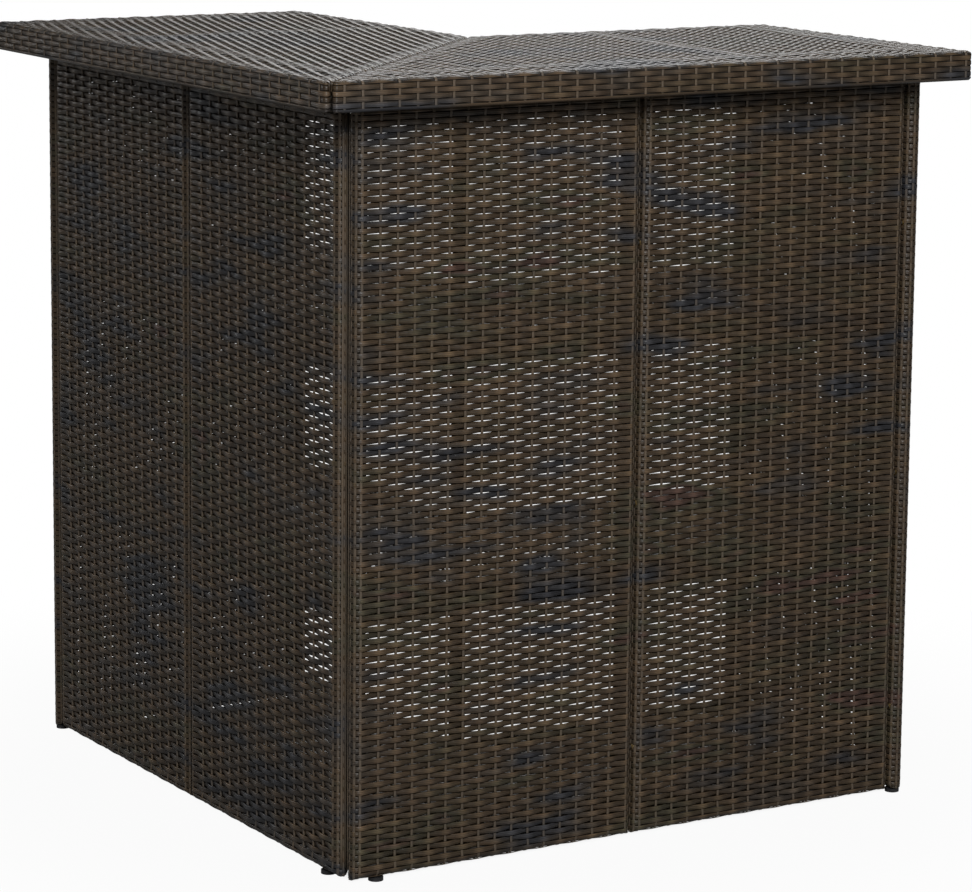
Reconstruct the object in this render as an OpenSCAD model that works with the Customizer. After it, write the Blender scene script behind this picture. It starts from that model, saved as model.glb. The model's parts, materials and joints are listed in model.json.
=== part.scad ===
// Woven corner bar table: two wings that meet in an L, with a mitred top,
// woven panels on the guests' side and three open shelves on the host's side.

/* [Top] */
// Outer edge of each wing's top, from the corner to the end
top_len = 1000; // [900:10:1200]
// Width of each wing's top
top_wid = 500; // [450:10:600]
// Height of the top's surface above the floor
top_height = 1050; // [1030:10:1150]
// Thickness of the top
top_thk = 40; // [34:1:50]
// How far the top stands out past the front panels
front_overhang = 65; // [40:1:90]
// How far the top stands out past the end panels
end_overhang = 35; // [32:1:80]
// How far the top stands out past the post and the end panels' rear edges
back_overhang = 15; // [14:1:40]
// Gap between the right and left halves, across the mitre
mitre_gap = 3; // [2:0.5:6]

/* [Panels] */
// Outer diameter of the round steel tube
tube_od = 20; // [18:1:22]
// Wall of every steel tube
tube_wall = 1.5; // [1:0.1:2]
// Thickness of the woven layer
weave_t = 2; // [1.5:0.1:2.5]
// Outer diameter of the end panels' cross tubes, which carry the shelves' ends
cross_od = 16; // [14:0.5:17]
// Gap between neighbouring panels
panel_gap = 3; // [2:0.5:6]
// Distance from the outer corner to the right wing's first panel
corner_setback = 11; // [4:1:20]
// Gap between the left wing's first panel and the back of the right wing's
corner_gap = 4; // [3:0.5:10]
// How deep the woven sheet lies behind the front of its edge tubes
sheet_set = 0.4; // [0.2:0.1:0.8]

/* [Shelves] */
// Thickness of each shelf
shelf_thk = 40; // [34:1:46]
// Height of the lowest shelf's underside above the floor
shelf_foot = 9; // [8:1:20]
// Distance from one shelf to the next
shelf_pitch = 327; // [290:1:330]

/* [Rails] */
// Width of the rectangular tube in the top and the shelves
rail_w = 20; // [18:1:24]
// Rounding of the woven edges of the top and the shelves
edge_r = 5; // [3:0.5:6]
// Rounding of the end corners of the top and the shelves, seen from above
end_corner_r = 10; // [7:0.5:14]
// Distance from the outer corner to the cross bars
cross_at = 620; // [560:10:680]

/* [Hardware] */
// Diameter of the bolts
bolt_d = 6; // [5:0.5:6]
// Diameter of the bolts' heads
head_d = 10; // [9:0.5:11]
// Height of the bolts' heads
head_h = 3.5; // [3:0.1:4]
// How far a bolt reaches into its threaded insert
bolt_reach = 11; // [9:0.5:12]
// Outer diameter of the threaded inserts
insert_d = 9; // [8:0.5:9.5]
// Length of the threaded inserts
insert_len = 12; // [10:0.5:13]
// Diameter of the screws in the plates
screw_d = 4; // [3:0.5:5]
// Diameter of the screws' heads
screw_head_d = 8; // [7:0.5:9]
// Height of the screws' heads
screw_head_h = 2; // [1.5:0.1:2.2]
// Length of the screws in the plates
screw_len = 10; // [8:0.5:12]
// Thickness of the steel plates
plate_t = 3; // [2:0.5:4]
// Side of the steel plates, along the mitre
plate_side = 44; // [40:1:48]
// Height of the feet
foot_h = 5; // [4:0.5:8]
// Diameter of the feet
foot_d = 20; // [18:1:22]
// Diameter of the stems that hold the feet in the tubes
foot_stem_d = 8; // [6:0.5:9]
// Length of the stems that hold the feet in the tubes
foot_stem_len = 10; // [8:0.5:12]
// Distance from a corner panel's edge tube to its foot
foot_inset = 28; // [26:1:40]

/* [Hidden] */
// Play round tubes and holes, and between pieces that only touch
fit = 0.3;
eps = 1;
$fn = 48;
// Flat steps in each rounding of the top and the shelves
round_steps = 3;

tube_r = tube_od / 2;
rim_r = tube_r + weave_t;
rim_d = 2 * rim_r;
cross_r = cross_od / 2;
rail = rail_w + 2 * weave_t;
base_len = top_len - front_overhang - end_overhang;
base_dep = top_wid - front_overhang - back_overhang;
under_top = top_height - top_thk;
panel_h = under_top - foot_h;
end_x = base_len - rim_r;
post = base_dep - rim_r;

// A wing is drawn along X. Wing 0 is the right one, and wing 1 is mirrored across the corner.
first_edge = [corner_setback, rim_d + corner_gap];
panels_end = base_len - rim_d - panel_gap;
function panel_w(w) = (panels_end - first_edge[w] - panel_gap) / 2;
function panel_x(w, i) = first_edge[w] + i * (panel_w(w) + panel_gap);
function outer_stile(w, i) = panel_x(w, i) + panel_w(w) - rim_r;

// Where the tops' woven rails end, seen from above
top_in = rail - front_overhang;
top_back = base_dep + back_overhang - rail;
top_side = base_len + end_overhang - rail;
bearer_y = rim_r - rail / 2;
bearer_x = end_x - rail / 2;

shelf_front = rim_d + fit;
shelf_back = base_dep - rim_d - fit;
shelf_end = base_len - rim_d - fit;
function shelf_z(level) = shelf_foot + level * shelf_pitch;
function shelf_mid(level) = shelf_z(level) + shelf_thk / 2;
levels = [0, 1, 2];
// Rounding of a deck's corners, seen from above, from its outer corner round to its inner one
corner_r = [edge_r + fit, end_corner_r, end_corner_r, edge_r + fit];
cross_heights = [shelf_mid(1), shelf_mid(2)];

// A deck is [y of its front, y of its back, x of its end, thickness, bays].
// A bay is [y of its front, y of its back, x of its start, x of its end]. With no start it ends at the mitre.
top_deck = [
  -front_overhang, base_dep + back_overhang, base_len + end_overhang, top_thk,
  [
    [top_in, bearer_y, undef, bearer_x],
    [bearer_y + rail, top_back, undef, cross_at - rail / 2],
    [bearer_y + rail, top_back, cross_at + rail / 2, bearer_x],
    [top_in, top_back, bearer_x + rail, top_side]
  ]
];
shelf_deck = [
  shelf_front, shelf_back, shelf_end, shelf_thk,
  [
    [shelf_front + rail, shelf_back - rail, undef, cross_at - rail / 2],
    [shelf_front + rail, shelf_back - rail, cross_at + rail / 2, shelf_end - rail]
  ]
];

// Where the plates lie along the mitre, as the x and y of their middles
plate_at = [base_dep * 0.3, base_dep * 0.74];
screw_step = plate_side / 4;
screw_out = (rail + mitre_gap) / 2;

bolt_heights = [125, 460, 810];
bolt_stagger = 7;
end_bolt_y = [base_dep * 0.3, base_dep * 0.7];

// The origin is on the floor, under the middle of the top's outline.
module wing(w) {
  translate([front_overhang - top_len / 2, front_overhang - top_len / 2, 0])
    if (w == 1) mirror([1, -1, 0]) children();
    else children();
}

// Bolts, inserts and their holes

// A joint is [point on the face that the insert is set in, direction of the bolt, length under its head].
module at_joint(j) {
  translate(j[0])
    rotate([0, acos(j[1][2]), atan2(j[1][1], j[1][0])])
      children();
}

module bolt(j) {
  at_joint(j)
    translate([0, 0, -j[2]])
      difference() {
        union() {
          translate([0, 0, -head_h]) cylinder(r = head_d / 2, h = head_h);
          cylinder(r = bolt_d / 2, h = j[2] + bolt_reach);
        }
        translate([0, 0, -head_h - eps]) cylinder(r = bolt_d / 3, h = head_h / 2 + eps, $fn = 6);
      }
}

module insert(j) {
  at_joint(j)
    translate([0, 0, fit])
      difference() {
        cylinder(r = insert_d / 2, h = insert_len);
        translate([0, 0, -eps]) cylinder(r = bolt_d / 2 + fit / 2, h = insert_len + 2 * eps);
      }
}

module joint_holes(joints) {
  for (j = joints)
    at_joint(j) {
      translate([0, 0, -j[2] - eps]) cylinder(r = bolt_d / 2 + fit, h = j[2] + eps);
      translate([0, 0, -eps]) cylinder(r = insert_d / 2 + fit, h = rim_r + eps);
    }
}

seam_joints = [for (w = [0, 1]) [for (z = bolt_heights)
  [[panel_x(w, 1), rim_r, z], [1, 0, 0], rim_d + panel_gap]]];
end_joints = [for (z = bolt_heights)
  [[base_len - rim_d, rim_r, z], [1, 0, 0], rim_d + panel_gap]];

function top_joints(w) = concat(
  [for (i = [0, 1]) [[panel_x(w, i) + panel_w(w) / 2, rim_r, under_top], [0, 0, 1], rim_d]],
  [for (y = end_bolt_y) [[end_x, y, under_top], [0, 0, 1], rim_d]]
);

// The wings' bolts through the post cross it at different heights.
function post_joint(w, level) =
  [[post, shelf_back, shelf_mid(level) + (w == 0 ? bolt_stagger : -bolt_stagger)], [0, -1, 0], rim_d + fit];

// At its end the bottom shelf is bolted to the end panel's lower tube, and the others to its cross tubes.
function end_bar_x(level) = base_len - rim_d + (level == 0 ? 0 : sheet_set);
function end_bar_z(level) = level == 0 ? foot_h + rim_r : shelf_mid(level);

function shelf_joints(w, level) = concat(
  [for (x = [outer_stile(w, 0), panel_x(w, 1) + rim_r])
    [[x, rim_d, shelf_mid(level)], [0, -1, 0], rail + fit]],
  [for (y = end_bolt_y)
    [[end_bar_x(level), y, end_bar_z(level)], [1, 0, 0], end_bar_x(level) - shelf_end + rail]],
  [post_joint(w, level)]
);

function panel_joints(w) = concat(
  seam_joints[w], end_joints, top_joints(w),
  [for (level = levels) each shelf_joints(w, level)]
);

// Plates across the mitre, and their screws

module plate_spots() {
  for (p = plate_at)
    translate([p, p, 0])
      rotate([0, 0, 45])
        children();
}

module post_spot() {
  translate([post, post, 0])
    rotate([0, 0, 45])
      children();
}

module screw_spots() {
  for (x = [-screw_step, screw_step])
    for (y = [-screw_out, screw_out])
      translate([x, y, 0])
        children();
}

module screw() {
  translate([0, 0, -plate_t - screw_head_h]) cylinder(r = screw_head_d / 2, h = screw_head_h);
  translate([0, 0, -plate_t]) cylinder(r = screw_d / 2, h = screw_len);
}

module screw_hole() {
  translate([0, 0, -plate_t - eps]) cylinder(r = screw_d / 2 + fit, h = screw_len + eps + fit);
}

module mitre_plate() {
  difference() {
    translate([-plate_side / 2, -plate_side / 2, -plate_t]) cube([plate_side, plate_side, plate_t]);
    screw_spots() screw_hole();
  }
}

module all_plate_levels() {
  for (z = concat([under_top], [for (level = levels) shelf_z(level)]))
    translate([0, 0, z])
      plate_spots()
        children();
}

// Round bars and the panels made of them

// A round bar along X. Its ends are cut at 45 degrees, and its longer side is -Z.
module mitred_bar(len, r) {
  intersection() {
    translate([-r - eps, 0, 0])
      rotate([0, 90, 0])
        cylinder(r = r, h = len + 2 * r + 2 * eps);
    translate([0, r + eps, 0])
      rotate([90, 0, 0])
        linear_extrude(2 * r + 2 * eps)
          polygon([[-r, -r], [len + r, -r], [len - r, r], [r, r]]);
  }
}

// Four mitred bars round a panel of the given outer width
module bar_ring(w, r) {
  a = w - rim_d;
  b = panel_h - rim_d;
  translate([rim_r, rim_r, rim_r]) {
    mitred_bar(a, r);
    translate([a, 0, 0]) rotate([0, -90, 0]) mitred_bar(b, r);
    translate([a, 0, b]) rotate([0, 180, 0]) mitred_bar(a, r);
    translate([0, 0, b]) rotate([0, 90, 0]) mitred_bar(b, r);
  }
}

// A panel's cross tubes, at the heights in the list
module cross_bars(w, heights, r) {
  for (z = heights)
    translate([rim_r, rim_d - sheet_set - cross_r - weave_t, z - foot_h])
      rotate([0, 90, 0])
        cylinder(r = r, h = w - rim_d);
}

module panel_frame(w, heights = []) {
  difference() {
    union() {
      bar_ring(w, tube_r);
      cross_bars(w, heights, cross_r);
    }
    bar_ring(w, tube_r - tube_wall);
    cross_bars(w, heights, cross_r - tube_wall);
  }
}

module panel_weave(w, heights = []) {
  difference() {
    union() {
      bar_ring(w, rim_r);
      cross_bars(w, heights, cross_r + weave_t);
      translate([rim_r, sheet_set, rim_r]) cube([w - rim_d, weave_t, panel_h - rim_d]);
    }
    bar_ring(w, tube_r + fit);
    cross_bars(w, heights, cross_r + fit);
  }
}

// Holes that the bolts and the feet need in a wing's panels
module panel_holes(w) {
  joint_holes(panel_joints(w));
  foot_spots(w)
    cylinder(r = foot_stem_d / 2 + fit, h = foot_h + foot_stem_len + fit);
}

module front_panel(w, i) {
  wing(w)
    difference() {
      translate([panel_x(w, i), 0, foot_h]) children();
      panel_holes(w);
    }
}

module end_panel(w) {
  wing(w)
    difference() {
      translate([base_len, 0, foot_h]) rotate([0, 0, 90]) children();
      panel_holes(w);
    }
}

// Decks: the top and the shelves

// Corners of a wing's deck, set in by d, with its mitred side a distance g from the mitre
function mitred(y0, y1, x1, d, g) =
  let(cut = sqrt(2) * (d + g))
    [[y0 + d + cut, y0 + d], [x1 - d, y0 + d], [x1 - d, y1 - d], [y1 - d + cut, y1 - d]];

function deck_points(deck, d) = mitred(deck[0], deck[1], deck[2], d, mitre_gap / 2);

function bay_points(b, d) =
  b[2] == undef
    ? mitred(b[0], b[1], b[3], d, rail + mitre_gap / 2)
    : [[b[2] + d, b[0] + d], [b[3] - d, b[0] + d], [b[3] - d, b[1] - d], [b[2] + d, b[1] - d]];

function heading(v) = atan2(v[1], v[0]);

// The deck's outline set in by d, with rounded corners
function outline(deck, d) = [
  for (i = [0 : 3])
    let(
      r = max(corner_r[i] - d, fit),
      points = deck_points(deck, d + r),
      start = heading(points[i] - points[(i + 3) % 4]),
      turn = (heading(points[(i + 1) % 4] - points[i]) - start + 360) % 360
    )
      for (k = [0 : round_steps])
        let(a = start + turn * k / round_steps)
          points[i] + r * [sin(a), -cos(a)]
];

// A block of the deck's outline set in by d
module deck_block(deck, d, h) {
  linear_extrude(h) polygon(outline(deck, d));
}

// The deck's outline with rounded edges, as rings from the bottom to the top
module deck_skin(deck) {
  angles = [for (k = [0 : round_steps]) 90 * k / round_steps];
  rings = concat(
    [for (a = angles) [edge_r * (1 - sin(a)), edge_r * (1 - cos(a))]],
    [for (a = angles) [edge_r * (1 - cos(a)), deck[3] - edge_r * (1 - sin(a))]]
  );
  n = 4 * (round_steps + 1);
  last = len(rings) - 1;
  polyhedron(
    points = [for (ring = rings) for (p = outline(deck, ring[0])) [p[0], p[1], ring[1]]],
    faces = concat(
      [[for (i = [0 : n - 1]) i]],
      [for (j = [0 : last - 1]) for (i = [0 : n - 1])
        [j * n + i, (j + 1) * n + i, (j + 1) * n + (i + 1) % n, j * n + (i + 1) % n]],
      [[for (i = [n - 1 : -1 : 0]) last * n + i]]
    )
  );
}

module bays(deck, d, z, h) {
  for (b = deck[4])
    translate([0, 0, z])
      linear_extrude(h)
        polygon(bay_points(b, d));
}

module deck_frame(deck) {
  h = deck[3] - 2 * weave_t;
  wall = weave_t + tube_wall;
  difference() {
    translate([0, 0, weave_t]) deck_block(deck, weave_t, h);
    bays(deck, -weave_t, 0, deck[3]);
    difference() {
      translate([0, 0, wall]) deck_block(deck, wall, h - 2 * tube_wall);
      bays(deck, -wall, 0, deck[3]);
    }
  }
}

module deck_weave(deck) {
  play = weave_t - fit;
  difference() {
    deck_skin(deck);
    bays(deck, 0, -eps, deck[3] - weave_t + eps);
    difference() {
      translate([0, 0, play]) deck_block(deck, play, deck[3] - 2 * play);
      bays(deck, -play, 0, deck[3]);
    }
  }
}

module top_half(w) {
  wing(w)
    difference() {
      translate([0, 0, under_top]) children();
      joint_holes(top_joints(w));
      translate([0, 0, under_top]) {
        plate_spots() screw_spots() screw_hole();
        post_spot() screw_spots() screw_hole();
      }
    }
}

module shelf(w, level) {
  wing(w)
    difference() {
      translate([0, 0, shelf_z(level)]) children();
      joint_holes(shelf_joints(w, level));
      translate([0, 0, shelf_z(level)]) plate_spots() screw_spots() screw_hole();
    }
}

// The round post in the inner corner

module post_bar(r, top) {
  translate([post, post, foot_h]) cylinder(r = r, h = top - foot_h);
}

module post_holes() {
  for (level = levels) {
    joint_holes([post_joint(0, level)]);
    mirror([1, -1, 0]) joint_holes([post_joint(1, level)]);
  }
}

module inner_post() {
  color("dimgray")
    wing(0)
      difference() {
        union() {
          post_bar(tube_r, under_top);
          translate([0, 0, under_top - plate_t]) post_spot() cylinder(r = plate_side / 2 + fit, h = plate_t);
        }
        translate([0, 0, -plate_t]) post_bar(tube_r - tube_wall, under_top);
        post_holes();
        translate([0, 0, under_top]) post_spot() screw_spots() screw_hole();
      }
}

module inner_post_wrap() {
  color("#4a3a2e")
    wing(0)
      difference() {
        post_bar(rim_r, under_top - plate_t);
        translate([0, 0, -eps]) post_bar(tube_r + fit, under_top);
        post_holes();
      }
}

module mitre_plates() {
  color("silver") wing(0) all_plate_levels() mitre_plate();
}

module plate_screws() {
  color("silver")
    wing(0) {
      all_plate_levels() screw_spots() screw();
      translate([0, 0, under_top]) post_spot() screw_spots() screw();
    }
}

module wing_joints(kind) {
  for (w = [0, 1])
    wing(w)
      for (j = kind == "panel" ? concat(seam_joints[w], end_joints)
             : kind == "top" ? top_joints(w)
             : [for (level = levels) each shelf_joints(w, level)]) {
        $joint = j;
        children();
      }
}

module bolts(kind) {
  color("silver") wing_joints(kind) bolt($joint);
}

module inserts(kind) {
  color("goldenrod") wing_joints(kind) insert($joint);
}

// Where a wing's panels stand on feet
module foot_spots(w) {
  translate([first_edge[w] + rim_r + foot_inset, rim_r, 0]) children();
  for (y = [rim_r, base_dep - rim_r])
    translate([end_x, y, 0]) children();
}

module foot() {
  cylinder(r = foot_d / 2, h = foot_h);
  cylinder(r = foot_stem_d / 2, h = foot_h + foot_stem_len);
}

module foot_glides() {
  color("#202020") {
    for (w = [0, 1]) wing(w) foot_spots(w) foot();
    wing(0) post_spot() foot();
  }
}

// One module for each sub-part

module right_top_frame() { color("dimgray") top_half(0) deck_frame(top_deck); }
module right_top_weave() { color("#4a3a2e") top_half(0) deck_weave(top_deck); }
module left_top_frame() { color("dimgray") top_half(1) deck_frame(top_deck); }
module left_top_weave() { color("#4a3a2e") top_half(1) deck_weave(top_deck); }
module right_inner_panel_frame() { color("dimgray") front_panel(0, 0) panel_frame(panel_w(0)); }
module right_inner_panel_weave() { color("#4a3a2e") front_panel(0, 0) panel_weave(panel_w(0)); }
module right_outer_panel_frame() { color("dimgray") front_panel(0, 1) panel_frame(panel_w(0)); }
module right_outer_panel_weave() { color("#4a3a2e") front_panel(0, 1) panel_weave(panel_w(0)); }
module right_end_panel_frame() { color("dimgray") end_panel(0) panel_frame(base_dep, cross_heights); }
module right_end_panel_weave() { color("#4a3a2e") end_panel(0) panel_weave(base_dep, cross_heights); }
module left_inner_panel_frame() { color("dimgray") front_panel(1, 0) panel_frame(panel_w(1)); }
module left_inner_panel_weave() { color("#4a3a2e") front_panel(1, 0) panel_weave(panel_w(1)); }
module left_outer_panel_frame() { color("dimgray") front_panel(1, 1) panel_frame(panel_w(1)); }
module left_outer_panel_weave() { color("#4a3a2e") front_panel(1, 1) panel_weave(panel_w(1)); }
module left_end_panel_frame() { color("dimgray") end_panel(1) panel_frame(base_dep, cross_heights); }
module left_end_panel_weave() { color("#4a3a2e") end_panel(1) panel_weave(base_dep, cross_heights); }
module right_bottom_shelf_frame() { color("dimgray") shelf(0, 0) deck_frame(shelf_deck); }
module right_bottom_shelf_weave() { color("#4a3a2e") shelf(0, 0) deck_weave(shelf_deck); }
module right_middle_shelf_frame() { color("dimgray") shelf(0, 1) deck_frame(shelf_deck); }
module right_middle_shelf_weave() { color("#4a3a2e") shelf(0, 1) deck_weave(shelf_deck); }
module right_upper_shelf_frame() { color("dimgray") shelf(0, 2) deck_frame(shelf_deck); }
module right_upper_shelf_weave() { color("#4a3a2e") shelf(0, 2) deck_weave(shelf_deck); }
module left_bottom_shelf_frame() { color("dimgray") shelf(1, 0) deck_frame(shelf_deck); }
module left_bottom_shelf_weave() { color("#4a3a2e") shelf(1, 0) deck_weave(shelf_deck); }
module left_middle_shelf_frame() { color("dimgray") shelf(1, 1) deck_frame(shelf_deck); }
module left_middle_shelf_weave() { color("#4a3a2e") shelf(1, 1) deck_weave(shelf_deck); }
module left_upper_shelf_frame() { color("dimgray") shelf(1, 2) deck_frame(shelf_deck); }
module left_upper_shelf_weave() { color("#4a3a2e") shelf(1, 2) deck_weave(shelf_deck); }
module panel_bolts() { bolts("panel"); }
module panel_inserts() { inserts("panel"); }
module shelf_bolts() { bolts("shelf"); }
module shelf_inserts() { inserts("shelf"); }
module top_bolts() { bolts("top"); }
module top_inserts() { inserts("top"); }

right_top_frame();
right_top_weave();
left_top_frame();
left_top_weave();
right_inner_panel_frame();
right_inner_panel_weave();
right_outer_panel_frame();
right_outer_panel_weave();
right_end_panel_frame();
right_end_panel_weave();
left_inner_panel_frame();
left_inner_panel_weave();
left_outer_panel_frame();
left_outer_panel_weave();
left_end_panel_frame();
left_end_panel_weave();
right_bottom_shelf_frame();
right_bottom_shelf_weave();
right_middle_shelf_frame();
right_middle_shelf_weave();
right_upper_shelf_frame();
right_upper_shelf_weave();
left_bottom_shelf_frame();
left_bottom_shelf_weave();
left_middle_shelf_frame();
left_middle_shelf_weave();
left_upper_shelf_frame();
left_upper_shelf_weave();
inner_post();
inner_post_wrap();
mitre_plates();
plate_screws();
panel_bolts();
panel_inserts();
shelf_bolts();
shelf_inserts();
top_bolts();
top_inserts();
foot_glides();
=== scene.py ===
import json
import math

import bpy
import numpy as np
from mathutils import Matrix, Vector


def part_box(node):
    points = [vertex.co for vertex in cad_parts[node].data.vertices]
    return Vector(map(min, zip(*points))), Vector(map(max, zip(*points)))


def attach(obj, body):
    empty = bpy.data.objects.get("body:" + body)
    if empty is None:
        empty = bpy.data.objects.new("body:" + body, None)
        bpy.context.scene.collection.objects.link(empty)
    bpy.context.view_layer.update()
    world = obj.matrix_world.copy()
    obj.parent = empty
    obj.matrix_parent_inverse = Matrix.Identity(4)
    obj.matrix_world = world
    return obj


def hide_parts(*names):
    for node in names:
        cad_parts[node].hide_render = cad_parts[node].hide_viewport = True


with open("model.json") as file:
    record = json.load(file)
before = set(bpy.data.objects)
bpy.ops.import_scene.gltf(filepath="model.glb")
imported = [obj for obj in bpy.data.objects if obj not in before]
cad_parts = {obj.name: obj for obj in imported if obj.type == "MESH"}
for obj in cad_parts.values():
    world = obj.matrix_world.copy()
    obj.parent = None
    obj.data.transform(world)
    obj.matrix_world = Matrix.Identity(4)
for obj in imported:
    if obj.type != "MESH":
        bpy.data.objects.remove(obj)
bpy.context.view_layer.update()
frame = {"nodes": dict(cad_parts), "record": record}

# Sizes are in millimetres, in a wing's own coordinates: x runs along the wing from the outer corner,
# and y inwards from its front.
TO_CORNER = 435.0  # from the frame's origin back to the outer corner, along x and along y
FOOT = 5.0  # from the floor to the panels and the post
PANEL_H = 1005.0
BASE_LEN = 900.0
BASE_DEP = 420.0
TUBE_AXIS = 12.0  # from a panel's sides to its tubes' axes
MID_R = 11.0  # from a tube's axis to the middle of its weave
ROW_PITCH = 7.9
STAKE_PITCH = 26.0
STRAND_W = 7.45
TUBE_STRAND_W = 7.5
STAKE_W = 4.2
UPRIGHT_W = 3.0
COIL_PITCH = 7.3
COIL_W = 6.6
COIL_THICK = 1.7
COIL_STEPS = 14  # points a turn

# Decks: the top and the shelves
ROOT2 = math.sqrt(2)
GAP = 0.9  # from the mitre's plane to a half, along x, which is less than the gap in the CAD
EDGE_R = 5.0
TURN_R = EDGE_R - 1  # lengths round an edge are measured at this radius
QUARTER = TURN_R * math.pi / 2
CORNER_R = 10  # of a square corner, seen from above
MITRE_R = 6  # of a mitre's corners, seen from above
STRAIGHT_R = 1000
STAKE_MARGIN = 14  # from a deck's sides to the nearest stakes
MITRE_TIP = 19  # no stake is nearer to the mitre's outer tip than this, along x
MITRE_RAIL = 24
DECK_THICK = 40
SHELF_Z = 9
SHELF_STEP = 327
EDGE_ROWS = 5
EDGE_PITCH = 7.4
EDGE_START = 2.6  # from where the flat top ends to the middle of the first row round the edge

# A strand's row number sets its own shade. Stakes and coils have STAKE_ROW or more, and are warmer and
# lighter:
# partly their own tone, partly a painted highlight.
EDGE_ROW = 200
STAKE_ROW = 1000
UPRIGHT_ROW = 1050
END_STAKE_ROW = 1100
CROSS_TUBE_ROW = 1200
POST_ROW = 1201

# Points round a strand's section: across it, and through it
SECTION = np.array([(-1, 0), (-0.56, 0.5), (0.56, 0.5), (1, 0), (0.56, -0.5), (-0.56, -0.5)])


def smooth(x):
    x = np.clip(x, 0, 1)
    return x * x * (3 - 2 * x)


def between(a, b, t):
    return a + (b - a) * t


def weaving(phase, power=0.8):
    """How far in front of the stakes a strand runs, from 1 to -1.

    It is 1 at even stakes, and a low power makes it flat there.
    """
    wave = np.cos(math.pi * phase)
    return np.sign(wave) * np.abs(wave) ** power


def row_width(phase):
    """A row fills its pitch where it crosses between two stakes."""
    return STRAND_W + 0.45 * smooth((1 - np.abs(np.cos(math.pi * phase))) / 0.3)


# Strands


class Strands:
    """Flat strands that are laid on a surface, and become one mesh."""

    def __init__(self, wing, seed):
        self.wing = wing
        self.rng = np.random.default_rng(seed)
        self.co, self.marks, self.crowns, self.quads, self.caps = [], [], [], [], []
        self.count = 0

    def wobble(self, p, size):
        a, b = self.rng.uniform(0, 2 * math.pi, 2)
        return size * (np.sin(p / 37 + a) + np.sin(p / 13.7 + b)) / 2

    def swing(self, p, stakes, low, high, share):
        """How far a row swings: from low to high by the share, and a little differently at each stake."""
        return between(low, high, share) * np.interp(p, stakes, self.rng.uniform(0.9, 1.04, len(stakes)))

    def add(self, surface, path, side, height, width, thick, row, upright=False, closed=False, crown=0.7):
        """A strand along the path.

        Side, height, width, thick and crown are numbers or lists along it. The crown sets a painted
        highlight: it is 1 where the strand stands out most and is painted lightest, and low values paint
        shade.
        An upright strand runs along the surface's second coordinate.
        """
        path = np.asarray(path, float)
        n, m = len(path), len(SECTION)
        full = lambda v: np.broadcast_to(np.asarray(v, float), (n,))[:, None]
        across = full(side) + SECTION[:, 0] * full(width) / 2
        h = full(height) + SECTION[:, 1] * full(thick)
        along = np.repeat(path[:, None], m, 1)
        xyz = surface(across, along, h) if upright else surface(along, across, h)
        if self.wing:
            xyz = xyz[..., [1, 0, 2]]
        xyz = (xyz - [TO_CORNER, TO_CORNER, 0]) / 1000

        steps = np.linalg.norm(np.diff(xyz.mean(1), axis=0), axis=1)
        length = np.concatenate([[0], np.cumsum(steps)]) + self.rng.uniform(0, 9)
        marks = np.empty((n, m, 3))
        marks[..., 0] = length[:, None]
        marks[..., 1] = SECTION[:, 0]
        marks[..., 2] = row

        i = np.arange(n if closed else n - 1)[:, None]
        j = np.arange(m)[None, :]
        nexti, nextj = (i + 1) % n, (j + 1) % m
        quads = np.stack([i * m + j, i * m + nextj, nexti * m + nextj, nexti * m + j], -1).reshape(-1, 4)
        ends = [] if closed else [np.arange(m)[::-1], (n - 1) * m + np.arange(m)]

        # Faces look outwards, whichever way the surface runs
        flat = xyz.reshape(-1, 3)
        local = flat - flat.mean(0)
        a, b, c, d = (local[quads[:, k]] for k in range(4))
        volume = (a * np.cross(b, c)).sum() + (a * np.cross(c, d)).sum()
        if volume < 0:
            quads = quads[:, ::-1]
            ends = [e[::-1] for e in ends]

        self.co.append(flat)
        self.marks.append(marks.reshape(-1, 3))
        self.crowns.append(np.repeat(full(crown), m, 1).ravel())
        self.quads.append(quads + self.count)
        self.caps += [e + self.count for e in ends]
        self.count += len(flat)

    def piece(self, name, node, material):
        co, marks, quads = np.concatenate(self.co), np.concatenate(self.marks), np.concatenate(self.quads)
        caps = np.array(self.caps).reshape(-1, len(SECTION))
        mesh = bpy.data.meshes.new(name)
        mesh.vertices.add(len(co))
        mesh.vertices.foreach_set("co", co.astype(np.float32).ravel())
        corners = np.concatenate([quads.ravel(), caps.ravel()]).astype(np.int32)
        totals = np.concatenate([np.full(len(quads), 4), np.full(len(caps), len(SECTION))])
        starts = np.concatenate([[0], np.cumsum(totals)[:-1]]).astype(np.int32)
        mesh.loops.add(len(corners))
        mesh.loops.foreach_set("vertex_index", corners)
        mesh.polygons.add(len(totals))
        mesh.polygons.foreach_set("loop_start", starts)
        mesh.update(calc_edges=True)
        mesh.polygons.foreach_set("use_smooth", np.ones(len(totals), bool))
        strand = mesh.attributes.new("strand", "FLOAT_VECTOR", "POINT")
        strand.data.foreach_set("vector", marks.astype(np.float32).ravel())
        crown = mesh.attributes.new("crown", "FLOAT", "POINT")
        crown.data.foreach_set("value", np.concatenate(self.crowns).astype(np.float32))
        mesh.materials.append(material)
        obj = bpy.data.objects.new(name, mesh)
        bpy.context.scene.collection.objects.link(obj)
        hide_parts(node)
        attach(obj, "root")


# Panels: a sheet between two stiles and two rails, and wound round all four


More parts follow.
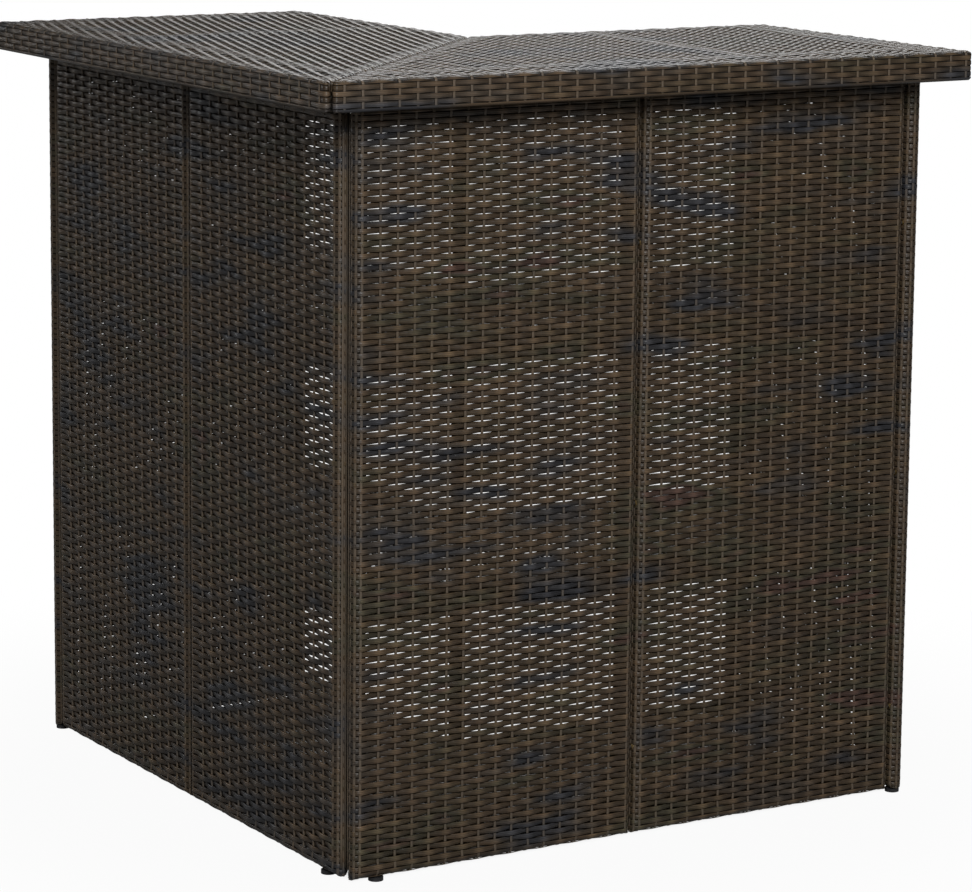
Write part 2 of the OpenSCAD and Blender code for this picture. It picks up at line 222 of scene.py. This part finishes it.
def panel_surface(width, put):
    """The surface, and the distances between the stiles' axes and between the rails' axes.

    Its coordinates p and q are 0 at the first stile and the lower rail, and go on round the tubes.
    """
    far, top = width - 2 * TUBE_AXIS, PANEL_H - 2 * TUBE_AXIS

    def surface(p, q, h):
        r = MID_R + h
        a = np.where(p < 0, -p, np.maximum(p - far, 0)) / MID_R
        b = np.where(q < 0, -q, np.maximum(q - top, 0)) / MID_R
        stile, rail = np.cos(a), np.cos(b)
        on_stile = np.clip(stile, -np.abs(rail), np.abs(rail))
        c = np.where(rail >= 0, on_stile, np.clip(rail, -np.abs(stile), np.abs(stile)))
        u = TUBE_AXIS + np.clip(p, 0, far) + np.where(p < 0, -1, 1) * r * np.sin(a)
        z = FOOT + TUBE_AXIS + np.clip(q, 0, top) + np.where(q < 0, -1, 1) * r * np.sin(b)
        return put(u, TUBE_AXIS - r * c, z)

    return surface, far, top


def arc(degrees):
    """A length round a tube."""
    return np.radians(degrees) * MID_R


TUBE_STAKES = arc([10, 52, 94, 145, 195, 245])
TUBE_STEPS = arc([0, 10, 31, 52, 73, 94, 120, 145, 170, 195, 220, 245, 262])
FIRST_ROW = arc(86)  # round the rails, where the rows begin that also go round the stiles
UNDER_ROWS = 4  # more rows round a rail, between the stiles
SHEET_STAKE_REACH = arc(255)  # how far the sheet's stakes go round the rails
TUBE_STAKE_REACH = arc(80)


def weave_panel(strands, width, put, uprights=()):
    surface, far, top = panel_surface(width, put)
    n = round(far / STAKE_PITCH)
    stakes = np.concatenate([-TUBE_STAKES[::-1], far / n * np.arange(1, n), far + TUBE_STAKES])
    p = np.concatenate([-TUBE_STEPS[:0:-1], np.linspace(0, far, 4 * n + 1), far + TUBE_STEPS[1:]])
    phase = np.interp(p, stakes, np.arange(len(stakes)))
    clear = smooth((np.minimum(p, far - p) - 2) / 10)

    first = -FIRST_ROW + STRAND_W / 2
    last = top - first
    rows = round((last - first) / ROW_PITCH)
    for row in range(rows + 1):
        q = first + (last - first) * row / rows
        b = clear * smooth((min(q, top - q) - 1) / 10)
        wave = weaving(phase + row)
        height = -1.8 * b + wave * strands.swing(p, stakes, 0.5, 1.9, b)
        side = q + strands.wobble(p, 0.18) + strands.rng.uniform(-0.08, 0.08)
        wide = between(TUBE_STRAND_W, row_width(phase), b) + strands.rng.uniform(-0.12, 0.12)
        # Painted highlight where the row passes over a stake, and painted shade where it dips behind one
        strands.add(surface, p, side, height, wide, between(1.0, 1.6, b), row, crown=wave)

    inner = (p >= 0) & (p <= far)
    for k in range(UNDER_ROWS):
        q = first - ROW_PITCH * (k + 1)
        for side, row in ((q, -1 - k), (top - q, rows + 1 + k)):
            strands.add(surface, p[inner], side, 0.5 * weaving(phase[inner] + row), TUBE_STRAND_W, 1.0, row)

    # Each stake gets a fixed painted highlight, which is stronger on the tubes
    for k, at in enumerate(stakes):
        on_sheet = 0 < at < far
        if on_sheet:
            turn = np.linspace(0, SHEET_STAKE_REACH, 14)
            flat = [2, 6, 11, 14], [top / 2], [top - 14, top - 11, top - 6, top - 2]
            q = np.concatenate([-turn[::-1], *flat, top + turn])
            b = smooth((np.minimum(q, top - q) - 1) / 10)
            height, thick, crown = between(0.1, -1.8, b), between(0.9, 2.2, b), 0.8
        else:
            turn = np.linspace(0, TUBE_STAKE_REACH, 6)
            q = np.concatenate([-turn[::-1], [top / 2], top + turn])
            height, thick, crown = 0.1, 0.9, 0.9
        strands.add(surface, q, at, height, STAKE_W, thick, STAKE_ROW + k, upright=True, crown=crown)

    # Strands that run up a stile over its rows, with a full painted highlight
    q = np.linspace(0, top, 30)
    for k, degrees in enumerate(uprights):
        strands.add(surface, q, -arc(degrees), 1.3, UPRIGHT_W, 1.3, UPRIGHT_ROW + k, upright=True, crown=1)


def coil(strands, start, axis, length, radius, row):
    """A strand wound round a tube."""
    turns = length / COIL_PITCH
    t = np.linspace(0, 1, int(turns * COIL_STEPS) + 1)
    axis = np.array(axis, float)
    one = np.array([axis[2], axis[0], axis[1]])
    two = np.cross(axis, one)

    def surface(p, q, h):
        a = p / length * turns * 2 * math.pi
        r = (radius + h)[..., None]
        outwards = np.cos(a)[..., None] * one + np.sin(a)[..., None] * two
        return np.array(start) + (p + q)[..., None] * axis + r * outwards

    strands.add(surface, t * length, 0, 0, COIL_W, COIL_THICK, row)


# Decks: the top and the shelves


class Deck:
    def __init__(self, y0, y1, x1, z0, bays):
        self.y0, self.y1, self.x1, self.z0, self.z1 = y0, y1, x1, z0, z0 + DECK_THICK
        self.side = DECK_THICK - 2 * EDGE_R
        self.total = 2 * QUARTER + self.side
        self.bays = bays

    def profile(self, a, h):
        """The distance in from the outline and the height, a millimetres out and down from the flat top."""
        r = TURN_R + h
        b1 = np.clip(a, 0, QUARTER) / TURN_R
        b2 = np.clip(a - QUARTER - self.side, 0, QUARTER) / TURN_R
        down = np.clip(a - QUARTER, 0, self.side)
        turned = a > QUARTER + self.side / 2
        inset = np.where(turned, EDGE_R - r * np.cos(b2), EDGE_R - r * np.sin(b1))
        inset = inset + np.maximum(-a, 0) + np.maximum(a - self.total, 0)
        low = self.z0 + EDGE_R - r * np.sin(b2) + (self.side - down)
        high = self.z1 - EDGE_R + r * np.cos(b1) - down
        return inset, np.where(turned, low, high)

    def open_share(self, x, y):
        """0 over the rails, and 1 where nothing lies under the weave."""
        best = np.full(np.broadcast(x, y).shape, -9.0)
        for front, rear, start, end in self.bays:
            left = (x - y - GAP) / ROOT2 - MITRE_RAIL if start is None else x - start
            inside = np.minimum(np.minimum(y - front, rear - y), np.minimum(left, end - x))
            best = np.maximum(best, inside)
        return smooth((best + 1) / 8)

    def along(self, p, q, h):
        """Rows. p is x, and q is y."""
        near = (q + GAP + ROOT2 * EDGE_R - p) / ROOT2
        far = p - (self.x1 - EDGE_R)
        inset, z = self.profile(np.where(far > near, far, near), h)
        x = np.where(far > near, self.x1 - inset, q + GAP + ROOT2 * inset)
        return np.stack([x, q + 0 * x, z], -1)

    def across(self, p, q, h):
        """Stakes. p is x, and q is y."""
        front = self.y0 + EDGE_R - q
        back = q - (self.y1 - EDGE_R)
        mitre = (q - (p - GAP - ROOT2 * EDGE_R)) / ROOT2
        at_mitre = p - GAP < self.y1
        rear = np.where(at_mitre, mitre, back)
        inset, z = self.profile(np.where(rear > front, rear, front), h)
        y_rear = np.where(at_mitre, p - GAP - ROOT2 * inset, self.y1 - inset)
        return np.stack([p + 0 * z, np.where(rear > front, y_rear, self.y0 + inset), z], -1)

    def at_end(self, p, q, h):
        """Stakes on the end. p is y, and q is how far out and down."""
        inset, z = self.profile(q, h)
        return np.stack([self.x1 - inset, p + 0 * z, z], -1)

    def outline(self, xs, ys):
        """Points round the outline, seen from above.

        It gives the points with their outward directions, their places along it and the stakes' places,
        how much each point is woven, and the radius there.
        """
        y0, y1, x1 = self.y0, self.y1, self.x1
        corners = [(y0 + GAP, y0), (x1, y0), (x1, y1), (y1 + GAP, y1)]
        facing = [-90, 0, 90, 135]
        radii = [MITRE_R, CORNER_R, CORNER_R, MITRE_R]
        normal = lambda a: np.array([math.cos(math.radians(a)), math.sin(math.radians(a))])
        centres = []
        for i, corner in enumerate(corners):
            a, b = normal(facing[i - 1]), normal(facing[i])
            centres.append(np.linalg.solve([a, b], [a @ corner - radii[i], b @ corner - radii[i]]))

        # Each corner, and then the side that follows it: front, end, back and mitre
        points = []
        for i in range(4):
            start_angle, end_angle = facing[i - 1], 270 if i == 0 else facing[i]
            steps = max(2, round((end_angle - start_angle) / 16))
            for a in np.linspace(start_angle, end_angle, steps + 1):
                n = normal(a)
                at = centres[i] + radii[i] * n
                points.append((*at, *n, 0.0 if i in (0, 3) else 1.0, False, radii[i]))
            n = normal(facing[i])
            c, d = centres[i] + radii[i] * n, centres[(i + 1) % 4] + radii[(i + 1) % 4] * n
            if i == 3:
                for t in np.linspace(0, 1, 24)[1:-1]:
                    points.append((*(c + (d - c) * t), *n, 0.0, False, STRAIGHT_R))
                continue
            k = 1 if i == 1 else 0
            lo, hi = sorted((c[k], d[k]))
            stakes = {s for s in (ys if i == 1 else xs) if lo - 1 <= s <= hi + 1}
            stakes = sorted(stakes, reverse=bool(c[k] > d[k]))
            inner = []
            for s, t in zip(stakes[:-1], stakes[1:]):
                inner += [(between(s, t, share), share == 0) for share in (0, 0.25, 0.5, 0.75)]
            inner.append((stakes[-1], True))
            for s, is_stake in inner:
                t = (s - c[k]) / (d[k] - c[k])
                if 0 <= t <= 1:
                    points.append((*(c + (d - c) * t), *n, 1.0, is_stake, STRAIGHT_R))

        data = np.array(points, float)
        apart = np.linalg.norm(np.diff(data[:, :2], axis=0), axis=1) > 0.05
        data = data[np.concatenate([[True], apart])]
        u = np.concatenate([[0], np.cumsum(np.linalg.norm(np.diff(data[:, :2], axis=0), axis=1))])
        return data[:, :2], data[:, 2:4], u, u[data[:, 5] > 0], data[:, 4], data[:, 6]


def weave_deck(strands, deck):
    rng = strands.rng
    count = int((deck.x1 - STAKE_MARGIN - deck.y0 - MITRE_TIP) / STAKE_PITCH) + 1
    xs = (deck.x1 - STAKE_MARGIN - STAKE_PITCH * np.arange(count))[::-1]
    many = round((deck.y1 - deck.y0 - 2 * STAKE_MARGIN) / STAKE_PITCH)
    ys = np.linspace(deck.y0 + STAKE_MARGIN, deck.y1 - STAKE_MARGIN, many + 1)

    # Rows along the wing
    inset = EDGE_R + 4.6
    rows = round((deck.y1 - deck.y0 - 2 * inset) / ROW_PITCH)
    turn = np.linspace(0, QUARTER, 6)
    for row in range(rows + 1):
        y = between(deck.y0 + inset, deck.y1 - inset, row / rows)
        start, end = y + GAP + ROOT2 * EDGE_R, deck.x1 - EDGE_R
        mitred = start - ROOT2 * np.concatenate([[QUARTER + 9], turn[::-1]])
        flat = np.arange(deck.x1 - STAKE_MARGIN, start, -STAKE_PITCH / 4)[::-1]
        flat = flat[(flat > start + 1) & (flat < end - 1)]
        p = np.concatenate([mitred, flat, end + turn, [end + QUARTER + 2]])
        phase = np.interp(p, xs, np.arange(count)) + np.minimum(p - xs[0], 0) / STAKE_PITCH
        b = deck.open_share(p, y)
        edge = smooth((p - (end - 3)) / 4)
        wave = weaving(phase + row + 1, 1.4)
        height = between(-1.2 * b + wave * strands.swing(p, xs, 0.5, 1.6, b), -0.5, edge)
        side = y + strands.wobble(p, 0.18)
        wide = between(TUBE_STRAND_W, row_width(phase), b) + rng.uniform(-0.12, 0.12)
        # A milder painted highlight over the stakes, and painted shade where the row dips, than on the panels
        crown = between(0.7, wave, 0.5)
        strands.add(deck.along, p, side, height, wide, between(1.0, 1.4, b), row, crown=crown)

    # Stakes across it, and on its end
    edge = np.linspace(0, QUARTER, 5)
    inward = 15
    down = np.concatenate([edge, np.linspace(QUARTER + deck.side, deck.total, 5), [deck.total + inward]])
    for k, x in enumerate(xs):
        at_mitre = x - GAP < deck.y1
        front = deck.y0 + EDGE_R
        rear = x - GAP - ROOT2 * EDGE_R if at_mitre else deck.y1 - EDGE_R
        if rear - front < 6:
            continue
        after = ROOT2 * np.concatenate([edge, [QUARTER + 8]]) if at_mitre else down
        middle = np.linspace(front, rear, max(3, round((rear - front) / 9)))[1:-1]
        q = np.concatenate([front - down[::-1], middle, rear + after])
        b = deck.open_share(x, q)
        height, thick = between(0.1, -1.2, b), between(0.9, 1.6, b)
        # A strong painted highlight on the stakes where they turn round the edges
        crown = np.where((q < front) | (q > rear), 0.98, 0.7)
        strands.add(deck.across, q, x, height, STAKE_W, thick, STAKE_ROW + k, upright=True, crown=crown)
    down = np.concatenate([[-3], down])
    # The end's stakes get a strong painted highlight
    for k, y in enumerate(ys):
        strands.add(deck.at_end, down, y, 0.1, 3.4, 1.3, END_STAKE_ROW + k, upright=True, crown=0.98)

    # Rows round the edges, a border along the bottom, and rows under the rails
    base, normal, u, stakes, woven, radius = deck.outline(xs, ys)
    phase = np.interp(u, stakes, np.arange(len(stakes)))

    def around(p, q, h):
        inset, z = deck.profile(q, h)
        # Under the rails, a row stays on its own side of a corner's centre
        limit = np.interp(p, u, radius)
        inset = np.where(q > deck.total, limit * (1 - np.exp(-inset / limit)), inset)
        at = np.stack([np.interp(p, u, base[:, k]) for k in (0, 1)], -1)
        n = np.stack([np.interp(p, u, normal[:, k]) for k in (0, 1)], -1)
        return np.concatenate([at - inset[..., None] * n, z[..., None]], -1)

    def ring(row, side, height, width, crown=0.7):
        strands.add(around, u, side, height, width, 1.0, EDGE_ROW + row, closed=True, crown=crown)

    for row in range(EDGE_ROWS):
        wave = np.cos(math.pi * (phase + row))
        height = between(-0.6, 0.95 * wave - 0.4, woven)
        # Painted highlight where a row passes over a stake, and painted shade where it dips
        ring(row, EDGE_START + EDGE_PITCH * row, height, 6.95 + rng.uniform(-0.15, 0.15), 0.55 + 0.42 * wave)
    ring(EDGE_ROWS, EDGE_START + EDGE_PITCH * EDGE_ROWS - 0.4, between(-0.6, 0.45, woven), 5.8)
    for k in range(2):
        row = EDGE_ROWS + 1 + k
        height = between(-0.6, 0.5 * np.cos(math.pi * (phase + row)), woven)
        ring(row, deck.total + 4.5 + ROW_PITCH * k, height, 6.6)


# Materials


class Nodes:
    def __init__(self, name):
        self.material = bpy.data.materials.new(name)
        self.material.use_nodes = True
        self.tree = self.material.node_tree
        self.tree.nodes.clear()
        self.shader = self.new("ShaderNodeBsdfPrincipled")
        self.out = self.new("ShaderNodeOutputMaterial")
        self.link(self.shader.outputs[0], self.out.inputs[0])

    def new(self, kind, **values):
        node = self.tree.nodes.new(kind)
        for key, value in values.items():
            setattr(node, key, value)
        return node

    def link(self, a, b):
        self.tree.links.new(a, b)

    def fill(self, socket, value):
        """A number or a colour is set on the socket, and anything else is linked to it."""
        if isinstance(value, (int, float)):
            socket.default_value = value
        elif isinstance(value, tuple):
            socket.default_value = (*value, 1)
        else:
            self.link(value, socket)

    def shade(self, name, value):
        self.fill(self.shader.inputs[name], value)

    def place(self):
        return self.new("ShaderNodeTexCoord").outputs["Object"]

    def split(self, vector):
        node = self.new("ShaderNodeSeparateXYZ")
        self.link(vector, node.inputs[0])
        return node.outputs

    def join(self, *parts):
        node = self.new("ShaderNodeCombineXYZ")
        for socket, part in zip(node.inputs, parts):
            self.fill(socket, part)
        return node.outputs[0]

    def math(self, operation, *values):
        node = self.new("ShaderNodeMath", operation=operation)
        for socket, value in zip(node.inputs, values):
            self.fill(socket, value)
        return node.outputs[0]

    def mix(self, factor, a, b, blend="MIX"):
        node = self.new("ShaderNodeMix", data_type="RGBA", blend_type=blend)
        for socket, value in zip((node.inputs[0], node.inputs[6], node.inputs[7]), (factor, a, b)):
            self.fill(socket, value)
        return node.outputs[2]

    def times(self, a, b, factor=1.0):
        return self.mix(factor, a, b, "MULTIPLY")

    def noise(self, vector, scale, detail, roughness=0.5):
        node = self.new("ShaderNodeTexNoise")
        node.inputs["Scale"].default_value = scale
        node.inputs["Detail"].default_value = detail
        node.inputs["Roughness"].default_value = roughness
        self.link(vector, node.inputs["Vector"])
        return node.outputs[0]

    def ramp(self, factor, *stops):
        node = self.new("ShaderNodeValToRGB")
        elements = node.color_ramp.elements
        while len(elements) < len(stops):
            elements.new(0.5)
        for element, (place, colour) in zip(elements, stops):
            element.position = place
            element.color = (*colour, 1)
        self.link(factor, node.inputs[0])
        return node.outputs[0]

    def fade(self, value, start, end, low, high):
        node = self.new("ShaderNodeMapRange", interpolation_type="SMOOTHSTEP")
        self.link(value, node.inputs["Value"])
        for socket, number in (("From Min", start), ("From Max", end), ("To Min", low), ("To Max", high)):
            node.inputs[socket].default_value = number
        return node.outputs["Result"]

    def bump(self, height, strength, distance):
        node = self.new("ShaderNodeBump")
        node.inputs["Strength"].default_value = strength
        node.inputs["Distance"].default_value = distance
        self.link(height, node.inputs["Height"])
        return node.outputs[0]


def grey(value):
    return (value, value, value)


def strand_material():
    n = Nodes("woven_strand")
    attribute = n.new("ShaderNodeAttribute", attribute_name="strand", attribute_type="GEOMETRY")
    along, across, row = n.split(attribute.outputs["Vector"])
    place = n.place()

    # Patches of dye that neighbouring rows share, about 120 mm long and four rows high, over broad drifts
    stretched = n.new("ShaderNodeMapping")
    n.link(place, stretched.inputs["Vector"])
    stretched.inputs["Scale"].default_value = (8, 8, 30)
    patch = n.noise(stretched.outputs[0], 1.0, 1, 0.4)
    broad = n.noise(place, 2.6, 0, 0.5)
    dye = n.ramp(
        n.math("ADD", n.math("MULTIPLY", patch, 0.72), n.math("MULTIPLY", broad, 0.28)),
        (0.34, (0.029, 0.029, 0.032)),
        (0.41, (0.048, 0.037, 0.027)),
        (0.48, (0.061, 0.041, 0.025)),
        (0.57, (0.058, 0.041, 0.024)),
        (0.65, (0.045, 0.039, 0.024)),
        (0.72, (0.060, 0.035, 0.026)),
    )

    # Each strand's own shade, which changes slowly along it
    own = n.join(n.math("MULTIPLY", along, 6.0), n.math("MULTIPLY", row, 7.31))
    tone = n.noise(own, 1.0, 2, 0.6)
    tone = n.ramp(tone, (0.3, (0.68, 0.68, 0.70)), (0.52, grey(1.0)), (0.72, (1.4, 1.36, 1.3)))
    colour = n.times(dye, tone)

    # Painted highlight where it stands out over a stake, and painted shade where it dips behind one
    crown = n.new("ShaderNodeAttribute", attribute_name="crown", attribute_type="GEOMETRY").outputs["Fac"]
    colour = n.times(colour, n.ramp(crown, (0.3, grey(0.82)), (0.7, grey(1.05)), (0.98, grey(1.7))))

    # Ribs along the strand, painted lighter on their tops as a highlight and darker between them as shade,
    # and fine scratches
    rib = n.math("ABSOLUTE", n.math("SINE", n.math("MULTIPLY", n.math("ADD", across, 1.0), 4.71)))
    ridge = n.math("POWER", rib, 0.6)
    streak = n.join(n.math("MULTIPLY", along, 40.0), n.math("MULTIPLY", across, 9.0), row)
    fine = n.noise(streak, 1.0, 4, 0.6)
    colour = n.mix(ridge, n.times(colour, grey(0.45)), n.times(colour, grey(1.25)))
    colour = n.times(colour, n.ramp(fine, (0.3, grey(0.5)), (0.7, grey(1.5))), 0.5)

    # Stakes are warmer and lighter than rows: partly their own tone, partly a painted highlight
    stake = n.math("GREATER_THAN", row, STAKE_ROW - 0.5)
    colour = n.mix(stake, colour, n.mix(0.5, colour, (0.13, 0.105, 0.08)))

    n.shade("Base Color", colour)
    n.shade("Roughness", n.math("ADD", 0.25, n.math("MULTIPLY", fine, 0.2)))
    n.shade("Specular IOR Level", 0.4)
    n.shade("Normal", n.bump(n.math("ADD", ridge, n.math("MULTIPLY", fine, 0.6)), 0.6, 0.0004))
    return n.material


def cloudy_material(name, cloud, colours, roughness, grain, bump, metallic=0):
    """A finish with a fine grain, whose colour and roughness follow a cloud.

    Cloud and grain are a noise's scale and detail. Colours are stops along the cloud. Roughness is where
    it starts and what the cloud adds. Bump is the grain's strength and distance.
    """
    n = Nodes(name)
    place = n.place()
    clouds = n.noise(place, *cloud)
    start, more = roughness
    n.shade("Base Color", n.ramp(clouds, *colours))
    n.shade("Metallic", metallic)
    n.shade("Roughness", n.math("ADD", start, n.math("MULTIPLY", clouds, more)))
    n.shade("Normal", n.bump(n.noise(place, *grain), *bump))
    return n.material


def metal_material(name, dark, light, roughness):
    colours = (0.3, dark), (0.7, light)
    return cloudy_material(name, (60, 5), colours, (roughness, 0.25), (1400, 3), (0.2, 0.0002), 1)


PAINT = (0.35, (0.018, 0.015, 0.013)), (0.7, (0.032, 0.026, 0.021))
GLIDE = (0.3, (0.012, 0.012, 0.013)), (0.7, (0.028, 0.028, 0.03))
woven = strand_material()
finishes = {
    "painted_steel": cloudy_material("painted_steel", (14, 4), PAINT, (0.38, 0.2), (900, 2), (0.25, 0.0003)),
    "zinc": metal_material("zinc", (0.42, 0.43, 0.44), (0.62, 0.63, 0.63), 0.22),
    "brass": metal_material("brass", (0.52, 0.36, 0.14), (0.70, 0.52, 0.24), 0.2),
    "black_plastic": cloudy_material("black_plastic", (120, 4), GLIDE, (0.4, 0.25), (1500, 2), (0.3, 0.0003)),
    "woven_strand": woven,
}
for part in frame["record"]["subparts"]:
    data = frame["nodes"][part["node"]].data
    data.materials.clear()
    data.materials.append(finishes[part["material_slot"]])


# The woven pieces

# A deck's open bays between its rails: from y to y, and from x, or None at the mitre, to x
TOP_BAYS = [(-41, 0, None, 876), (24, 411, None, 608), (24, 411, 632, 876), (-41, 411, 900, 911)]
SHELF_BAYS = [(48.3, 371.7, None, 608), (48.3, 371.7, 632, 851.7)]
DECKS = [("top", Deck(-65, 435, 935, 1010, TOP_BAYS))]
for level, name in enumerate(("bottom", "middle", "upper")):
    DECKS.append((f"{name}_shelf", Deck(24.3, 395.7, 875.7, SHELF_Z + SHELF_STEP * level, SHELF_BAYS)))

CROSS_TUBE_Z = (356, 683)
CROSS_TUBE_V = 13.6  # from the end panel's outer side to its cross tubes' axes
CROSS_COIL_R = 9.0
POST_AT = 408
POST_COIL_LEN = 1002

# Degrees round the stiles at the outer corner where strands run up over the rows
CORNER_UPRIGHTS = {"left": (75, 103, 131, 155), "right": (121,)}


def front_put(start):
    return lambda u, v, z: np.stack([start + u, v, z], -1)


def end_put(u, v, z):
    return np.stack([BASE_LEN - v, u, z], -1)


def edges(node, axis):
    lo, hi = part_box(node)
    return lo[axis] * 1000 + TO_CORNER, hi[axis] * 1000 + TO_CORNER


seed = 10
for wing, side in enumerate(("right", "left")):
    for which in ("inner", "outer"):
        seed += 1
        node = f"{side}_{which}_panel_weave"
        a, b = edges(node, wing)
        strands = Strands(wing, seed)
        weave_panel(strands, b - a, front_put(a), CORNER_UPRIGHTS[side] if which == "inner" else ())
        strands.piece(f"{side}_{which}_panel_woven", node, woven)

    seed += 1
    strands = Strands(wing, seed)
    weave_panel(strands, BASE_DEP, end_put)
    for z in CROSS_TUBE_Z:
        start = (BASE_LEN - CROSS_TUBE_V, TUBE_AXIS, z)
        coil(strands, start, (0, 1, 0), BASE_DEP - 2 * TUBE_AXIS, CROSS_COIL_R, CROSS_TUBE_ROW)
    strands.piece(f"{side}_end_panel_woven", f"{side}_end_panel_weave", woven)

    for name, deck in DECKS:
        seed += 1
        strands = Strands(wing, seed)
        weave_deck(strands, deck)
        strands.piece(f"{side}_{name}_woven", f"{side}_{name}_weave", woven)

strands = Strands(0, 99)
coil(strands, (POST_AT, POST_AT, FOOT), (0, 0, 1), POST_COIL_LEN, MID_R, POST_ROW)
strands.piece("inner_post_woven", "inner_post_wrap", woven)


# Floor, light and camera


def floor_material():
    """White to the camera, with a faint shadow near the table, and shaded as it is lit under the table."""
    n = Nodes("floor")
    n.shade("Base Color", grey(0.35))
    n.shade("Roughness", 0.9)
    n.shade("Specular IOR Level", 0.1)
    place = n.place()
    distance = n.new("ShaderNodeVectorMath", operation="LENGTH")
    n.link(place, distance.inputs[0])
    x, y, _ = n.split(place)

    # How far a point is inside the base's L, to about 15 mm
    inside = n.math("MINIMUM", n.math("ADD", x, 0.42), n.math("ADD", y, 0.42))
    inside = n.math("MINIMUM", inside, n.math("MULTIPLY", n.math("MINIMUM", x, y), -1.0))
    inside = n.math("MINIMUM", inside, n.math("SUBTRACT", 0.45, n.math("MAXIMUM", x, y)))

    shadow = n.fade(distance.outputs["Value"], 0.5, 1.3, 0.95, 1.0)
    white = n.math("MULTIPLY", shadow, n.fade(inside, 0.0, 0.05, 1.0, 0.0))
    camera_ray = n.new("ShaderNodeLightPath").outputs["Is Camera Ray"]
    shown = n.new("ShaderNodeMixShader")
    n.link(n.math("MULTIPLY", camera_ray, white), shown.inputs[0])
    n.link(n.shader.outputs[0], shown.inputs[1])
    n.link(n.new("ShaderNodeEmission").outputs[0], shown.inputs[2])
    n.link(shown.outputs[0], n.out.inputs[0])
    return n.material


floor_mesh = bpy.data.meshes.new("floor")
floor_mesh.from_pydata([(-40, -40, 0), (40, -40, 0), (40, 40, 0), (-40, 40, 0)], [], [(0, 1, 2, 3)])
floor = bpy.data.objects.new("floor", floor_mesh)
bpy.context.scene.collection.objects.link(floor)
floor_mesh.materials.append(floor_material())

# The world is white to the camera, and has these strengths for what it lights and for reflections
AMBIENT = 0.12
GLOSSY_AMBIENT = 0.05
world = bpy.data.worlds.new("studio")
bpy.context.scene.world = world
world.use_nodes = True
tree = world.node_tree
back = tree.nodes["Background"]
path = tree.nodes.new("ShaderNodeLightPath")
terms = (("Is Camera Ray", 1.0 - AMBIENT, AMBIENT), ("Is Glossy Ray", GLOSSY_AMBIENT - AMBIENT, 0.0))
total = None
for ray, times, plus in terms:
    node = tree.nodes.new("ShaderNodeMath")
    node.operation = "MULTIPLY_ADD"
    tree.links.new(path.outputs[ray], node.inputs[0])
    node.inputs[1].default_value = times
    node.inputs[2].default_value = plus
    if total is not None:
        tree.links.new(total, node.inputs[2])
    total = node.outputs[0]
tree.links.new(total, back.inputs["Strength"])
back.inputs["Color"].default_value = (1, 1, 1, 1)

LAMPS_LOOK_AT = (0, 0, 0.55)


def area(name, place, size, power):
    lamp = bpy.data.lights.new(name, "AREA")
    lamp.shape = "RECTANGLE"
    lamp.size, lamp.size_y = size
    lamp.energy = power
    obj = bpy.data.objects.new(name, lamp)
    bpy.context.scene.collection.objects.link(obj)
    obj.location = place
    d = np.array(LAMPS_LOOK_AT) - np.array(place)
    yaw, tilt = math.atan2(d[1], d[0]), math.acos(-d[2] / np.linalg.norm(d))
    obj.rotation_euler = (tilt, 0, yaw - math.pi / 2)


area("key", (-1.7, -4.4, 3.2), (2.0, 2.0), 205)
area("side", (-2.8, 4.3, 1.9), (0.5, 1.0), 19)
area("back", (2.6, 3.2, 3.4), (3.0, 2.0), 85)

# The camera that was fitted to the photo: pixels, degrees, and millimetres from the outer corner
WIDTH, HEIGHT = 972, 892
FOCAL, CY = 3763.5, 348.4
YAW, PITCH, ROLL = 58.762, 9.584, 0.542
CAMERA_AT = np.array([-2272.1, -4081.8, 1495.6])
SENSOR = 36

yaw, pitch, roll = (math.radians(v) for v in (YAW, PITCH, ROLL))
forward = np.array([math.cos(yaw) * math.cos(pitch), math.sin(yaw) * math.cos(pitch), -math.sin(pitch)])
right = np.array([math.sin(yaw), -math.cos(yaw), 0.0])
up = np.cross(right, forward)
right, up = math.cos(roll) * right + math.sin(roll) * up, -math.sin(roll) * right + math.cos(roll) * up
data = bpy.data.cameras.new("camera")
data.sensor_fit = "HORIZONTAL"
data.sensor_width = SENSOR
data.lens = FOCAL * SENSOR / WIDTH
data.shift_y = (CY - HEIGHT / 2) / WIDTH
data.clip_end = 100
camera = bpy.data.objects.new("camera", data)
bpy.context.scene.collection.objects.link(camera)
matrix = np.eye(4)
matrix[:3, 0], matrix[:3, 1], matrix[:3, 2] = right, up, -forward
matrix[:3, 3] = (CAMERA_AT - [TO_CORNER, TO_CORNER, 0]) / 1000
camera.matrix_world = Matrix(matrix.tolist())
bpy.context.scene.camera = camera
bpy.context.scene.view_settings.view_transform = "Standard"
